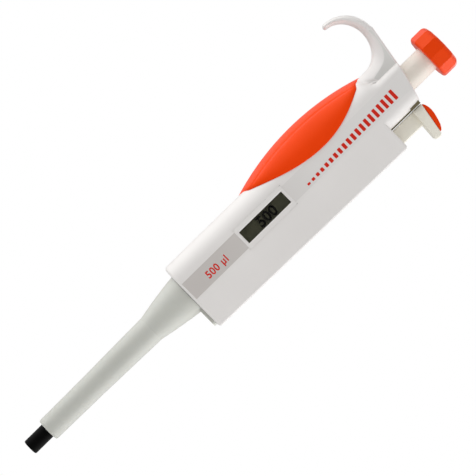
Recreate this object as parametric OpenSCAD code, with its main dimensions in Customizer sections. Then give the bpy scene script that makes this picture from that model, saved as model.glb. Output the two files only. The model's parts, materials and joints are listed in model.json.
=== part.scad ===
// Adjustable micropipette, 50 to 500 microlitres, drawn upright.
// Origin: on the pipette's axis at the open end of the nozzle. +Z runs up to the knob.
// The finger hook points to -X, the ejector button to +X and the display to -Y.
// All sizes are in millimetres, in the rest position at the largest volume.

/* [Handle] */
// Height of the handle's underside above the nozzle's end
handle_z = 95; // [94:0.5:96]
// Height where the hook side of the handle starts to draw in to the neck
shoulder_z = 212; // [210:0.5:213]
// Height of the neck's highest corner, beside the hook
neck_top_z = 228.3; // [227:0.1:228.5]
// Distance from the axis to the handle's back edge, on the hook side
back_x = 14.5; // [14.2:0.1:15]
// Half depth of the handle at the flat strip
half_depth = 12.8; // [12.6:0.1:13.4]
// Half width of the flat strip that carries the display
strip_half_w = 4.5; // [4:0.1:5]
// Wall thickness of the shells
wall = 1.9; // [1.6:0.1:2]
// Height of the ejector housing's top
housing_top_z = 206; // [205:0.5:206]
// Distance from the axis to the ejector housing's edge, at its foot
housing_foot_x = 20; // [19.8:0.1:20.6]
// Distance from the axis to the ejector housing's edge, at its top
housing_head_x = 21.6; // [21.5:0.1:22.4]

/* [Hook and grip] */
// Radius of the hook's outer curve
hook_r = 14.35; // [14:0.05:14.6]
// Width of the hook
hook_w = 12; // [10:0.5:14]
// How far the palm grip stands proud of the back edge
grip_rise = 5.7; // [4:0.1:7]
// Length of the palm grip
grip_len = 75; // [66:1:78]

/* [Display] */
// Length of the window's opening
window_len = 25; // [24:0.5:26]
// Width of the window's opening
window_w = 6.4; // [6:0.1:6.8]
// Outer radius of the number rings
ring_r = 10.2; // [9.9:0.05:10.3]
// Pitch of the number rings along the axis
ring_pitch = 3.4; // [3.3:0.05:3.4]

/* [Knob and plunger] */
// Distance across two opposite flats of the knob
knob_af = 21.2; // [20:0.2:22]
// Height of the knob
knob_h = 9.1; // [8:0.1:10]
// Outer radius of the plunger sleeve
sleeve_r = 5.9; // [5.7:0.05:5.95]
// Radius of the piston
piston_r = 4.46; // [4.4:0.01:4.47]
// Stroke from rest to the first stop, which delivers the set volume
first_stroke = 8; // [7:0.1:8]
// Further stroke that blows out the last drop
blowout_stroke = 1.5; // [1:0.1:1.5]

/* [Nozzle and ejector] */
// Radius of the nozzle where a disposable tip fits
nozzle_r = 3.6; // [3.4:0.05:3.7]
// Length of nozzle that stands out of the ejector sleeve
nozzle_len = 10.9; // [10:0.1:11]
// Wall thickness of the ejector sleeve
ejector_wall = 0.9; // [0.8:0.05:1]
// Distance from the axis to the ejector rod
rod_x = 15.9; // [15.7:0.1:16]
// Travel of the ejector
ejector_stroke = 9; // [6:0.5:9]

/* [Hidden] */

$fn = 64;
far = 60; // reach of the cutting blocks, past every face
fit = 0.06; // radial clearance of a shaft that turns or slides in its bore

// Colours of the pieces
shell_white = [0.93, 0.92, 0.91];
cream = [0.91, 0.89, 0.82];
orange = [0.98, 0.33, 0.12];
sleeve_grey = [0.78, 0.79, 0.75];
dark = [0.12, 0.12, 0.11];
ring_olive = [0.3, 0.3, 0.26];
steel = [0.72, 0.73, 0.75];
brass = [0.8, 0.66, 0.36];
frame_grey = [0.45, 0.47, 0.5];
seal_white = [0.97, 0.97, 0.95];

// Handle
edge = 1.5; // rounding of the handle's lower edge
neck_back_x = 7.9; // back edge of the neck, above the shoulder
neck_side_x = 10.9; // ejector side of the neck
neck_depth = 11; // half depth at the neck's top
neck_slope = 13.5; // fall of the neck's top towards the ejector, in degrees
neck_z = 219; // where the shoulder has drawn in to the neck
step_y = 0.05; // how far the ejector housing's face lies behind the strip
housing_fall = 1.9; // how far the housing's face falls back from strip to corner
housing_corner = 2; // radius of the housing's corners
floor_z = handle_z + 2.2; // inside of the handle's floor
rib_bite = 0.4; // how far a rib or boss reaches into the wall
seat = 0.03; // radial room round a fixed piece in its seat
bush_foot_z = neck_z + 0.2; // foot of the plunger sleeve's guide
bush_top_z = neck_z + 4;
bush_r = 7.6;
floor_bore = 9.95; // opening in the handle's floor for the shaft socket

// Display, centred on the tens ring
display_z = 142.4;
ring_w = 3.2;
ring_bore = 8.3;
hub_r = ring_bore - 0.08;
hub_foot_z = 135.3;
hub_flange_z = 137.1; // top of the hub's flange
hub_flange_r = 9.9;
hub_top_z = 147.4;
pin_r = 0.6; // drive pins between the disc and the units ring
pin_path_r = (ring_bore + ring_r) / 2;
tens_z = display_z - ring_w / 2;
units_z = tens_z + ring_pitch;
hundreds_z = tens_z - ring_pitch;
window_z = display_z - 1; // middle of the window
bezel_border = 2.3; // width of the bezel round the window
bezel_y = half_depth + 0.25; // front face of the bezel
bezel_depth = 2.3;

// Counter gears: 40 internal teeth on a ring, 8 on a carry pinion
ring_teeth = 40;
pinion_teeth = 8;
tooth_root_r = 9.1;
mesh_r = 8.7; // pitch radius of the rings' teeth
pinion_r = mesh_r * pinion_teeth / ring_teeth;
pinion_x = mesh_r - pinion_r;
axle_r = 0.6;
axle_z = hub_foot_z + 0.9;

// Volume screw
spindle_r = 5; // over the thread
journal_r = 4;
groove_r = journal_r - 0.4; // foot of the clip's groove
clip_groove = [134.2, 134.9]; // heights of the spindle clip's faces
rod_hex_r = 2.6; // push rod, over its corners
disc_z = 147.7;
disc_top_z = 149.3;
frame_z = 151;
frame_top_z = 213;
frame_bore = 7.9;
frame_r = 9;
frame_floor = 1.4;
lug_w = 2.8;
slot_w = 3.2;
nut_z = 178;
nut_h = 9;
lug_r = 8.7;
nut_travel = 7.2; // from 500 to 50 microlitres
nut_r = 7.5;
skirt_bore = 7;
skirt_top_z = 209.8;
flange_r = 6.7; // stop flange at the foot of the plunger sleeve
sleeve_foot_z = 206;

// Plunger
press = first_stroke + blowout_stroke;
knob_top_z = 248;
knob_z = knob_top_z - knob_h;
knob_seat_z = knob_z + 1.6; // top of the plunger sleeve, inside the knob
push_rod_top_z = knob_top_z - 3; // top of the push rod, inside the knob
cap_r = 7;
cap_h = 1.4;
rod_foot_z = 128.7;
head_z = 126.1;
head_h = 2.5;
head_r = 7.3;
piston_foot_z = 84;
piston_top_z = 112;
collar_z = head_z - first_stroke - 0.05; // top of the blow-out collar
collar_h = 3;
collar_r = 8.4;
collar_bore = 6.2;

// Shaft and seals
socket_top_z = 104;
housing_lip_z = collar_z + 0.05;
housing_r = 9.25; // spring housing, and the socket under it
blowout_foot_z = socket_top_z + 1;
chamber_z = piston_foot_z - press - 0.5; // floor of the piston's chamber
chamber_r = 4.62;
seal_z = 95.6;
shaft_top_z = 100;
shaft_foot_z = 13;
spring_seat_z = seal_z + 5.4; // top of the seal retainer
nut_top_z = 98.2; // top of the coupling nut
shoulder_foot_z = 94;
nut_foot_z = 89.5;
nozzle_collar_z = 11.3;
channel_r = 0.9;

// Ejector
arm_z = 93.5;
arm_h = 1.3;
stem_x = 11.9;
stem_w = 7.3;
stem_depth = 7;
rod_bush_r = 2.58;
stem_foot_z = 190;
button_z = housing_top_z + ejector_stroke + 3.2;
rail_x = 10.95;
rail_w = 0.65;
rod_r = 1.5;
rod_neck_r = 1; // where the rod is set into the arm
rod_top_z = 197;
spring_foot_z = 149.5;
clip_z = 178;

// Screws: distance from the axis, height, and the depth at which the head is sunk level
screws = [[-11.2, 108, 9.2], [-11.2, 200, 9.2], [12.3, 108, 11.4], [12.3, 140, 11.4]];
screw_r = 0.9;
screw_reach = 6; // how far a screw reaches into the front shell
screw_head_r = 1.5;
screw_head_h = 1.1;
screw_sink = 1.58; // underside of the head below the shell's face
boss_r = 1.6;

// Cross ribs in both shells: lower face, upper face and bore
ribs = [[105, 107, housing_r + 0.05],
        [hub_foot_z, hub_flange_z, hub_flange_r + seat],
        [152.6, 154.6, frame_r + seat],
        [209, 211, frame_r + seat]];

// Points along an arc of a circle or an ellipse, with r = [rx, ry]
function arc(c, r, from, to, steps) =
    [for (i = [0:steps]) let (a = from + (to - from) * i / steps) c + [r[0] * cos(a), r[1] * sin(a)]];

// A full outline from its front half, which runs from the hook side to the ejector side
function both_halves(half) =
    concat(half, [for (i = [len(half) - 1:-1:0]) [half[i][0], -half[i][1]]]);

// Section of the handle without the ejector housing, drawn in by g
function grip_section(back, depth, side, g = 0) =
    let (rl = back - g - strip_half_w, rr = side - g - strip_half_w, d = depth - g)
    both_halves(concat(arc([-strip_half_w, -(d - rl)], [rl, rl], 180, 270, 10),
                       [[strip_half_w, -d]],
                       arc([strip_half_w, -(d - rr)], [rr, rr], 284, 360, 6)));

// Section of the ejector housing, drawn in by g
function housing_section(outer_x, g = 0) =
    let (x = outer_x - g, d = half_depth - step_y - g, c = housing_corner)
    both_halves(concat([[2, -d], [strip_half_w, -d]],
                       arc([x - c, -(d - housing_fall - c)], [c, c], 278, 360, 5)));

// Points of a gear: teeth of half angle w0 at radius r0 and w1 at radius r1
function gear_points(teeth, r0, r1, w0, w1) =
    [for (i = [0:teeth - 1]) let (a = 360 * i / teeth)
        for (p = [[r0, -w0], [r1, -w1], [r1, w1], [r0, w0]]) p[0] * [cos(a + p[1]), sin(a + p[1])]];

// A closed skin over rings of points, which turn to the left as seen from the last ring
module skin(rings) {
    n = len(rings[0]);
    last = len(rings) - 1;
    sides = [for (k = [0:last - 1], i = [0:n - 1])
        [k * n + i, (k + 1) * n + i, (k + 1) * n + (i + 1) % n, k * n + (i + 1) % n]];
    ends = [[for (i = [0:n - 1]) i], [for (i = [n - 1:-1:0]) last * n + i]];
    polyhedron(points = [for (r = rings, p = r) p], faces = concat(ends, sides), convexity = 6);
}

// A solid through flat sections, each given as [height, outline]
module loft(sections) {
    skin([for (s = sections) [for (p = s[1]) [p[0], p[1], s[0]]]]);
}

// A tube round the pipette's axis
module tube(z0, z1, outer, bore) {
    translate([0, 0, z0])
        difference() {
            cylinder(h = z1 - z0, r = outer);
            translate([0, 0, -1]) cylinder(h = z1 - z0 + 2, r = bore);
        }
}

// A round bar or hole round the pipette's axis
module bar(z0, z1, r) {
    translate([0, 0, z0]) cylinder(h = z1 - z0, r = r);
}

// A coil spring of round wire
module coil(r, wire, z0, z1, turns) {
    steps = 12 * turns;
    sides = 6;
    skin([for (i = [0:steps])
        let (a = 360 * turns * i / steps, z = z0 + wire + (z1 - z0 - 2 * wire) * i / steps)
        [for (k = [0:sides - 1])
            let (b = 360 * k / sides, d = r + wire * sin(b))
            [d * cos(a), d * sin(a), z + wire * cos(b)]]]);
}

// ---- Handle ----

// Outer form of the handle
module handle_outside() {
    top = neck_top_z + 2;
    difference() {
        union() {
            loft([[handle_z, grip_section(back_x, half_depth, neck_side_x, edge)],
                  [handle_z + edge, grip_section(back_x, half_depth, neck_side_x)],
                  [housing_top_z, grip_section(back_x, half_depth, neck_side_x)],
                  [shoulder_z, grip_section(back_x, half_depth - 0.3, neck_side_x)],
                  [neck_z, grip_section(neck_back_x, half_depth - 1, neck_side_x)],
                  [top, grip_section(neck_back_x, neck_depth, neck_side_x)]]);
            loft([[handle_z, housing_section(housing_foot_x, edge)],
                  [handle_z + edge, housing_section(housing_foot_x)],
                  [housing_top_z - 1, housing_section(housing_head_x)],
                  [housing_top_z, housing_section(housing_head_x, 0.8)]]);
        }
        translate([-neck_back_x, -far / 2, neck_top_z])
            rotate([0, neck_slope, 0])
                translate([-far / 2, 0, 0]) cube([far * 2, far, far]);
    }
}

// The space inside the handle
module handle_inside() {
    loft([[floor_z, grip_section(back_x, half_depth, neck_side_x, wall)],
          [shoulder_z - 1, grip_section(back_x, half_depth - 0.3, neck_side_x, wall)],
          [neck_z - 1.1, grip_section(neck_back_x, half_depth - 1, neck_side_x, wall)],
          [neck_z + 2, grip_section(neck_back_x, half_depth - 1.2, neck_side_x, wall)]]);
    loft([[floor_z, housing_section(housing_foot_x, wall)],
          [housing_top_z - 2.2, housing_section(housing_head_x, wall)]]);
}

// A cross rib that holds a round piece of the mechanism
module rib(z0, z1, r) {
    difference() {
        translate([0, 0, z0])
            linear_extrude(z1 - z0)
                polygon(grip_section(back_x, half_depth, neck_side_x, wall - rib_bite));
        bar(z0 - 1, z1 + 1, r);
    }
}

// Places its children at each screw, turned so that +Z runs out through the rear shell
module at_screws() {
    for (s = screws) translate([s[0], 0, s[1]]) rotate([-90, 0, 0]) children();
}

module screw_bosses() {
    for (s = screws)
        translate([s[0], 0, s[1]])
            rotate([-90, 0, 0])
                translate([0, 0, -s[2] + 1]) cylinder(h = 2 * s[2] - 2, r = boss_r);
}

// Pilot holes in front, clearance holes and head seats in the rear
module screw_holes() {
    at_screws() translate([0, 0, -screw_reach - 1]) cylinder(h = screw_reach + 1.5, r = screw_r);
    at_screws() cylinder(h = far, r = screw_r + 0.1);
    for (s = screws)
        translate([s[0], s[2] - screw_sink - 0.02, s[1]])
            rotate([-90, 0, 0]) cylinder(h = far, r = screw_head_r + 0.05);
}

// The openings that both shells share
module handle_openings() {
    stem_gap = 0.3;
    stem_hole = stem_depth + 0.7;
    bar(handle_z - 1, floor_z + 1, floor_bore);
    bar(bush_foot_z, bush_top_z, bush_r + seat);
    bar(neck_z + 1, far * 4, sleeve_r + 0.35);
    translate([rod_x, 0, handle_z - 1]) cylinder(h = far / 10, r = rod_bush_r + 0.02);
    translate([stem_x - stem_gap, -stem_hole / 2, housing_top_z - 3])
        cube([stem_w + 2 * stem_gap, stem_hole, 4]);
    rail_block();
    hook_block();
}

module handle_shell(front) {
    intersection() {
        translate([-far, front ? -far : 0, 0]) cube([2 * far, far, 5 * far]);
        difference() {
            union() {
                difference() {
                    handle_outside();
                    handle_inside();
                }
                for (r = ribs) rib(r[0], r[1], r[2]);
                screw_bosses();
            }
            handle_openings();
            screw_holes();
        }
    }
}

module handle_front() {
    color(shell_white)
        difference() {
            handle_shell(true);
            bezel_block();
        }
}

module handle_rear() {
    color(shell_white) handle_shell(false);
}

// The hook, with the root that fills the slot between the shells
module hook_block() {
    outer_c = [-27.4, 217.1];
    inner_c = [-27.2, 216.3];
    tip_c = [-40.45, 217.2];
    root_x = -neck_back_x + wall - 0.2;
    outline = concat(
        [[root_x, neck_top_z - 0.4], [-neck_back_x, neck_top_z]],
        arc(outer_c, [hook_r, hook_r], 82, 180, 20),
        arc(tip_c, [1.3, 1.3], 190, 350, 8),
        arc(inner_c, [12, 10.4], 172, 90, 12),
        arc(inner_c, [12.5, 10.4], 84, 8, 12),
        [[-back_x - 0.05, shoulder_z + 1.5], [-back_x + 0.05, shoulder_z], [-back_x + wall, shoulder_z - 2],
         [root_x, shoulder_z + 2]]);
    translate([0, hook_w / 2, 0])
        rotate([90, 0, 0])
            linear_extrude(hook_w) polygon(outline);
}

module finger_hook() {
    color(shell_white)
        difference() {
            hook_block();
            bar(shoulder_z - 4, frame_top_z + 0.1, frame_r + seat);
            bar(shoulder_z, far * 4, bush_r + 0.05);
        }
}

// Swollen grip pad: a barrel that wraps the back of the handle, cut away where the handle is
module palm_grip() {
    centre_x = -6.9;
    middle_z = 176.2;
    reach = back_x + grip_rise + centre_x;
    bow = (pow(grip_len / 2, 2) + pow(grip_rise, 2)) / (2 * grip_rise);
    steps = 24;
    profile = [for (i = [0:steps])
        let (z = grip_len * (i / steps - 0.5)) [reach - bow + sqrt(bow * bow - z * z), z]];
    color(orange)
        difference() {
            translate([centre_x, 0, middle_z])
                rotate_extrude($fn = 96)
                    polygon(concat([[0, grip_len / 2], [0, -grip_len / 2]], profile));
            handle_outside();
            hook_block();
        }
}

// ---- Display ----

module bezel_block() {
    w = window_w + 2 * bezel_border;
    h = window_len + 3;
    translate([-w / 2, -bezel_y, window_z - h / 2]) cube([w, bezel_depth, h]);
}

module window_bezel() {
    lip = 0.4;
    color(shell_white)
        difference() {
            bezel_block();
            translate([-window_w / 2, -bezel_y - 1, window_z - window_len / 2])
                cube([window_w, 4, window_len]);
            translate([-window_w / 2 - lip, -bezel_y + 0.9, window_z - window_len / 2 - lip])
                cube([window_w + 2 * lip, 4, window_len + 2 * lip]);
        }
}

module display_window() {
    lip = 0.35;
    color([0.2, 0.2, 0.17, 0.5])
        translate([-window_w / 2 - lip, -bezel_y + 0.95, window_z - window_len / 2 - lip])
            cube([window_w + 2 * lip, 0.9, window_len + 2 * lip]);
}

// A number ring; a driven one has gear teeth in its upper half
module number_ring(z, driven) {
    space_half_angle = 3;
    translate([0, 0, z])
        difference() {
            cylinder(h = ring_w, r = ring_r);
            translate([0, 0, -1]) cylinder(h = ring_w + 2, r = ring_bore);
            if (driven) {
                translate([0, 0, ring_w / 2])
                    linear_extrude(ring_w)
                        polygon(gear_points(ring_teeth, ring_bore - 0.05, tooth_root_r,
                                            space_half_angle, space_half_angle));
            }
        }
}

module units_ring() {
    color(ring_olive)
        difference() {
            number_ring(units_z, false);
            for (a = [0, 180])
                rotate(a) translate([0, pin_path_r, units_z + ring_w - 1.7]) cylinder(h = 3, r = pin_r);
        }
}

module tens_ring() {
    color(ring_olive) number_ring(tens_z, true);
}

module hundreds_ring() {
    color(ring_olive) number_ring(hundreds_z, true);
}

// A carry pinion: teeth below, in the slower ring, and a slim hub above, in the faster one
module carry_pinion(z) {
    translate([-pinion_x, 0, z])
        difference() {
            union() {
                linear_extrude(1.4) polygon(gear_points(pinion_teeth, 1.2, 2.05, 12, 4.2));
                cylinder(h = ring_w, r = 1.15);
            }
            translate([0, 0, -1]) cylinder(h = ring_w + 2, r = axle_r + fit);
        }
}

module tens_pinion() {
    color(brass) carry_pinion(tens_z + ring_w / 2 + 0.1);
}

module hundreds_pinion() {
    color(brass) carry_pinion(hundreds_z + ring_w / 2 + 0.1);
}

module pinion_axle() {
    color(steel) translate([-pinion_x, 0, axle_z]) cylinder(h = hub_top_z - axle_z, r = axle_r);
}

// Fixed hub: the rings turn on its outside and the spindle's journal in its bore
module counter_hub() {
    color(frame_grey)
        difference() {
            union() {
                bar(hub_foot_z, hub_flange_z, hub_flange_r);
                bar(hub_flange_z, hub_top_z, hub_r);
            }
            bar(hub_foot_z - 1, hub_top_z + 1, journal_r + fit);
            translate([-pinion_x, 0, hundreds_z + ring_w / 2 - 0.1]) cylinder(h = 7.1, r = 2.45);
            translate([-pinion_x, 0, axle_z]) cylinder(h = 2 * (hub_top_z - axle_z), r = axle_r);
        }
}

// ---- Volume mechanism ----

// Slotted tube that guides the stop nut
module mechanism_frame() {
    color(frame_grey)
        difference() {
            bar(frame_z, frame_top_z, frame_r);
            bar(frame_z + frame_floor, far * 4, frame_bore);
            bar(frame_z - 1, far * 4, spindle_r + 0.08);
            translate([-far / 2, -slot_w / 2, nut_z - nut_travel - 1.5])
                cube([far, slot_w, nut_h + nut_travel + 3]);
        }
}

module click_ring() {
    color(dark)
        translate([0, 0, frame_z + frame_floor + 0.8])
            rotate_extrude() translate([spindle_r + 0.85, 0]) circle(r = 0.78, $fn = 32);
}

// Threaded tube that the hexagonal push rod turns; ring grooves stand for the fine thread
module volume_spindle() {
    grooves = 28;
    top_z = 194;
    thread_z = 152.5;
    color(brass)
        difference() {
            union() {
                bar(clip_groove[0] - 0.6, disc_top_z, journal_r);
                bar(disc_top_z, frame_z - 0.1, 6.2);
                bar(frame_z - 0.1, top_z, spindle_r);
            }
            translate([0, 0, rod_foot_z]) cylinder(h = 2 * far, r = rod_hex_r + 0.1, $fn = 6);
            tube(clip_groove[0], clip_groove[1], journal_r + 1, groove_r);
            for (i = [1:grooves])
                translate([0, 0, thread_z + (top_z - thread_z) * i / (grooves + 1)])
                    tube(-0.25, 0.25, spindle_r + 1, spindle_r - 0.35);
        }
}

module drive_disc() {
    color(steel) {
        tube(disc_z, disc_top_z, 9.9, journal_r + 0.01);
        for (a = [0, 180])
            rotate(a) translate([0, pin_path_r, disc_z - 1.5]) cylinder(h = 1.6, r = pin_r);
    }
}

module spindle_clip() {
    color(steel)
        difference() {
            tube(clip_groove[0], clip_groove[1], 5.4, groove_r);
            translate([0, -1.4, clip_groove[0] - 1]) cube([far, 2.8, 3]);
        }
}

// Keyed nut; its skirt reaches up to stop the flange at the foot of the plunger sleeve
module stop_nut() {
    color(seal_white)
        difference() {
            union() {
                bar(nut_z, skirt_top_z, nut_r);
                translate([-lug_r, -lug_w / 2, nut_z]) cube([2 * lug_r, lug_w, nut_h]);
            }
            bar(nut_z - 1, far * 4, spindle_r + fit);
            bar(nut_z + nut_h, skirt_top_z - 1.2, skirt_bore);
            bar(skirt_top_z - 2, far * 4, flange_r + 0.15);
        }
}

// ---- Knob and plunger ----

// Soft-edged knob with twelve flats
module volume_knob() {
    flats = 12;
    corner_r = knob_af / 2 / cos(180 / flats);
    low_r = 1.4;
    high_r = 2.8;
    profile = concat([[0, 0]],
                     arc([corner_r - low_r, low_r], [low_r, low_r], -90, 0, 5),
                     arc([corner_r - high_r, knob_h - high_r], [high_r, high_r], 0, 90, 7),
                     [[0, knob_h]]);
    color(orange)
        difference() {
            intersection() {
                translate([0, 0, knob_z]) rotate_extrude() polygon(profile);
                rotate(7) translate([0, 0, knob_z - 1]) cylinder(h = knob_h + 2, r = corner_r, $fn = flats);
            }
            bar(knob_z - 1, knob_seat_z, sleeve_r + 0.02);
            bar(knob_z - 1, push_rod_top_z, rod_hex_r + 0.02);
            bar(knob_top_z - cap_h, knob_top_z + 1, cap_r + 0.05);
        }
}

module knob_cap() {
    color(orange)
        translate([0, 0, knob_top_z - cap_h])
            rotate_extrude()
                polygon(concat([[0, 0], [cap_r, 0]],
                               arc([cap_r - 0.3, cap_h - 0.3], [0.3, 0.3], 0, 90, 4),
                               [[0, cap_h]]));
}

module plunger_sleeve() {
    web_h = 3;
    color(cream)
        difference() {
            union() {
                bar(sleeve_foot_z, knob_seat_z, sleeve_r);
                bar(sleeve_foot_z, sleeve_foot_z + 2.4, flange_r);
            }
            bar(sleeve_foot_z + web_h, far * 5, 4.2);
            bar(sleeve_foot_z - 1, far * 5, rod_hex_r + 0.02);
        }
}

module push_rod() {
    color(steel)
        translate([0, 0, rod_foot_z])
            cylinder(h = push_rod_top_z - rod_foot_z, r = rod_hex_r, $fn = 6);
}

// Guide for the plunger sleeve, under the neck's top
module top_bush() {
    color(frame_grey) tube(bush_foot_z, bush_top_z, bush_r, sleeve_r + 0.08);
}

module piston_head() {
    color(seal_white) {
        bar(head_z, head_z + head_h, head_r);
        bar(piston_top_z, head_z + 0.1, 2.5);
        bar(piston_top_z - 5, piston_top_z + 0.1, 1.5);
    }
}

// Polished piston: its area times the first stroke is the largest volume
module piston() {
    color(steel)
        difference() {
            union() {
                bar(piston_foot_z + 0.5, piston_top_z, piston_r);
                translate([0, 0, piston_foot_z]) cylinder(h = 0.5, r1 = piston_r - 0.5, r2 = piston_r);
            }
            bar(piston_top_z - 5.2, piston_top_z + 1, 1.52);
        }
}

module primary_spring() {
    color(steel) coil(5.25, 0.4, spring_seat_z, head_z, 10);
}

module blowout_spring() {
    color(steel) coil(7.15, 0.5, blowout_foot_z, collar_z - collar_h, 5);
}

// First stop: the piston head meets it after the first stroke
module blowout_collar() {
    skirt = 3.5;
    color(brass)
        difference() {
            bar(collar_z - collar_h - skirt, collar_z, collar_r);
            bar(collar_z - far, far * 5, collar_bore);
            bar(collar_z - far, collar_z - collar_h, collar_r - 0.5);
        }
}

module spring_housing() {
    color(frame_grey)
        difference() {
            bar(socket_top_z, housing_lip_z + 1.3, housing_r);
            bar(socket_top_z - 1, far * 4, collar_bore);
            bar(blowout_foot_z, housing_lip_z, collar_r + 0.1);
            bar(housing_lip_z - 1, far * 4, head_r + 0.35);
        }
}

// ---- Shaft, seals and nozzle ----

// Bush in the handle's floor; the coupling nut screws into it from below
module shaft_socket() {
    color(frame_grey)
        difference() {
            union() {
                bar(handle_z + 0.1, socket_top_z, housing_r);
                bar(handle_z + 0.1, floor_z, floor_bore - 0.05);
                bar(floor_z, floor_z + 2, 10.6);
            }
            bar(handle_z - 1, nut_top_z + 0.1, 7.35);
            bar(nut_top_z - 0.2, shaft_top_z + 0.1, 6.65);
            bar(shaft_top_z - 1, far * 4, 6.05);
        }
}

module coupling_nut() {
    grips = 12;
    outer_r = 7.3;
    color(frame_grey)
        difference() {
            bar(nut_foot_z, nut_top_z, outer_r);
            bar(nut_foot_z - 1, far * 4, 5.45);
            bar(shoulder_foot_z - 0.1, far * 4, 6.7);
            for (i = [1:grips])
                rotate(360 * i / grips)
                    translate([outer_r + 0.25, 0, nut_foot_z - 1]) cylinder(h = 5.5, r = 0.6, $fn = 24);
        }
}

// Shaft: a long narrow air channel below, the piston's chamber above
module shaft() {
    outer = [[4.2, shaft_foot_z], [4.2, 16], [4.5, 41], [4.9, 61], [5.1, 73], [5.35, 75.5],
             [5.35, shoulder_foot_z], [6.6, shoulder_foot_z], [6.6, shaft_top_z]];
    inner = [[5.9, shaft_top_z], [5.9, seal_z - 0.05], [chamber_r, seal_z - 0.05], [chamber_r, chamber_z],
             [1.5, chamber_z - 2.5], [1.5, 22], [3, 22], [3, shaft_foot_z]];
    color(seal_white) rotate_extrude() polygon(concat(outer, inner));
}

module piston_seal() {
    color(seal_white) tube(seal_z, seal_z + 2, 5.85, piston_r + 0.02);
}

module seal_ring() {
    color(dark)
        translate([0, 0, seal_z + 2.8])
            rotate_extrude() translate([5.2, 0]) circle(r = 0.7, $fn = 32);
}

// Holds the seals down and carries the primary spring
module seal_retainer() {
    color(frame_grey) {
        tube(seal_z + 3.6, seal_z + 4.5, 5.85, 4.56);
        tube(seal_z + 4.4, spring_seat_z, 5.95, 4.56);
    }
}

// Black nozzle, with a thread into the shaft
module tip_cone() {
    lead = 0.6;
    thread_top_z = 21.5;
    color(dark)
        rotate_extrude()
            polygon(concat(
                [[channel_r, 0]],
                arc([nozzle_r - lead, lead], [lead, lead], -90, 0, 5),
                [[nozzle_r, nozzle_collar_z], [4.2, nozzle_collar_z + 0.3], [4.2, shaft_foot_z],
                 [2.95, shaft_foot_z], [2.95, thread_top_z], [channel_r, thread_top_z]]));
}

// ---- Ejector ----

// Thin tube over the shaft, which flares into a cone under the handle
module ejector_sleeve() {
    top_z = handle_z - 0.2;
    outer = [[5.2, nozzle_len], [5.45, nozzle_len + 0.9], [5.75, 41], [6.15, 61], [6.35, 73],
             [7.1, 77], [7.85, 81], [8.5, 85], [9.1, 89], [9.55, 92.5], [9.75, top_z]];
    inner = [for (i = [len(outer) - 1:-1:1]) outer[i] - [ejector_wall, 0]];
    color(sleeve_grey)
        difference() {
            rotate_extrude() polygon(concat(outer, inner, [[4.55, nozzle_len]]));
            translate([0, -4.25, arm_z - 0.05]) cube([far, 8.5, 5]);
        }
}

// Plate under the handle that joins the sleeve's cone to the rod
module ejector_arm() {
    ring_outer = 8.65;
    ring_inner = 7.75;
    end_r = 2.4;
    color(sleeve_grey)
        difference() {
            union() {
                bar(arm_z, arm_z + arm_h, ring_outer);
                translate([0, 0, arm_z])
                    linear_extrude(arm_h)
                        polygon(concat([[7, 4.2], [7, -4.2]],
                                       arc([rod_x, -1.8], [end_r, end_r], -80, 0, 6),
                                       arc([rod_x, 1.8], [end_r, end_r], 0, 80, 6)));
            }
            bar(arm_z - 1, handle_z, ring_inner);
            translate([rod_x, 0, arm_z - 1]) cylinder(h = 5, r = rod_neck_r + 0.02);
        }
}

module ejector_rod() {
    color(steel)
        translate([rod_x, 0, 0]) {
            bar(arm_z, arm_z + arm_h + 0.1, rod_neck_r);
            bar(arm_z + arm_h, rod_top_z, rod_r);
        }
}

module rod_clip() {
    color(steel) translate([rod_x, 0, 0]) tube(clip_z, clip_z + 1.2, 2.9, rod_r);
}

module ejector_spring() {
    color(steel) translate([rod_x, 0, 0]) coil(2.3, 0.3, spring_foot_z, clip_z, 14);
}

// Cross block between the shells that guides the rod and carries its spring
module ejector_guide() {
    thick = 3.3;
    left_x = 12.2;
    color(frame_grey)
        difference() {
            intersection() {
                translate([0, 0, spring_foot_z - thick])
                    linear_extrude(thick) polygon(housing_section(housing_foot_x + 0.7, wall + seat));
                translate([left_x, -far / 2, 0]) cube([far, far, 4 * far]);
            }
            translate([rod_x, 0, 0]) bar(spring_foot_z - far, spring_foot_z + 1, rod_r + fit);
        }
}

// Bush in the handle's floor that guides the rod; its flange has a flat beside the wall
module ejector_bush() {
    flange_h = 1.3;
    flange_outer_r = 3.1;
    flat_x = housing_foot_x - wall - 0.1;
    color(frame_grey)
        difference() {
            union() {
                translate([rod_x, 0, 0]) bar(handle_z + 0.1, floor_z + 0.1, rod_bush_r);
                translate([rod_x, 0, 0]) bar(floor_z, floor_z + flange_h, flange_outer_r);
            }
            translate([rod_x, 0, 0]) bar(handle_z - 1, far * 2, rod_r + fit);
            translate([flat_x, -far / 2, floor_z]) cube([far, far, far]);
        }
}

// Dark slide strip on the neck, with a stop block beside the button
module rail_block() {
    strip_depth = 6;
    strip_len = button_z - housing_top_z + 1.5;
    block_depth = 16;
    block_w = rail_w + 1.1;
    translate([rail_x, -strip_depth / 2, housing_top_z - 1]) cube([rail_w, strip_depth, strip_len]);
    translate([rail_x + rail_w - block_w, -block_depth / 2, button_z]) cube([block_w, block_depth, 5]);
}

module ejector_rail() {
    color(dark) rail_block();
}

// T-shaped thumb button with its flat stem
module ejector_button() {
    bar_depth = 13;
    bar_outline = concat([[stem_x, button_z + 5.1], [stem_x, button_z]],
                         arc([26.1, button_z + 0.9], [1.8, 1.8], 268, 430, 10));
    color(cream)
        difference() {
            union() {
                translate([stem_x, -stem_depth / 2, stem_foot_z])
                    cube([stem_w, stem_depth, button_z + 1 - stem_foot_z]);
                translate([0, bar_depth / 2, 0])
                    rotate([90, 0, 0])
                        linear_extrude(bar_depth) polygon(bar_outline);
            }
            translate([rod_x, 0, stem_foot_z - 1])
                cylinder(h = rod_top_z - stem_foot_z + 1.1, r = rod_r + 0.02);
        }
}

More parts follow.
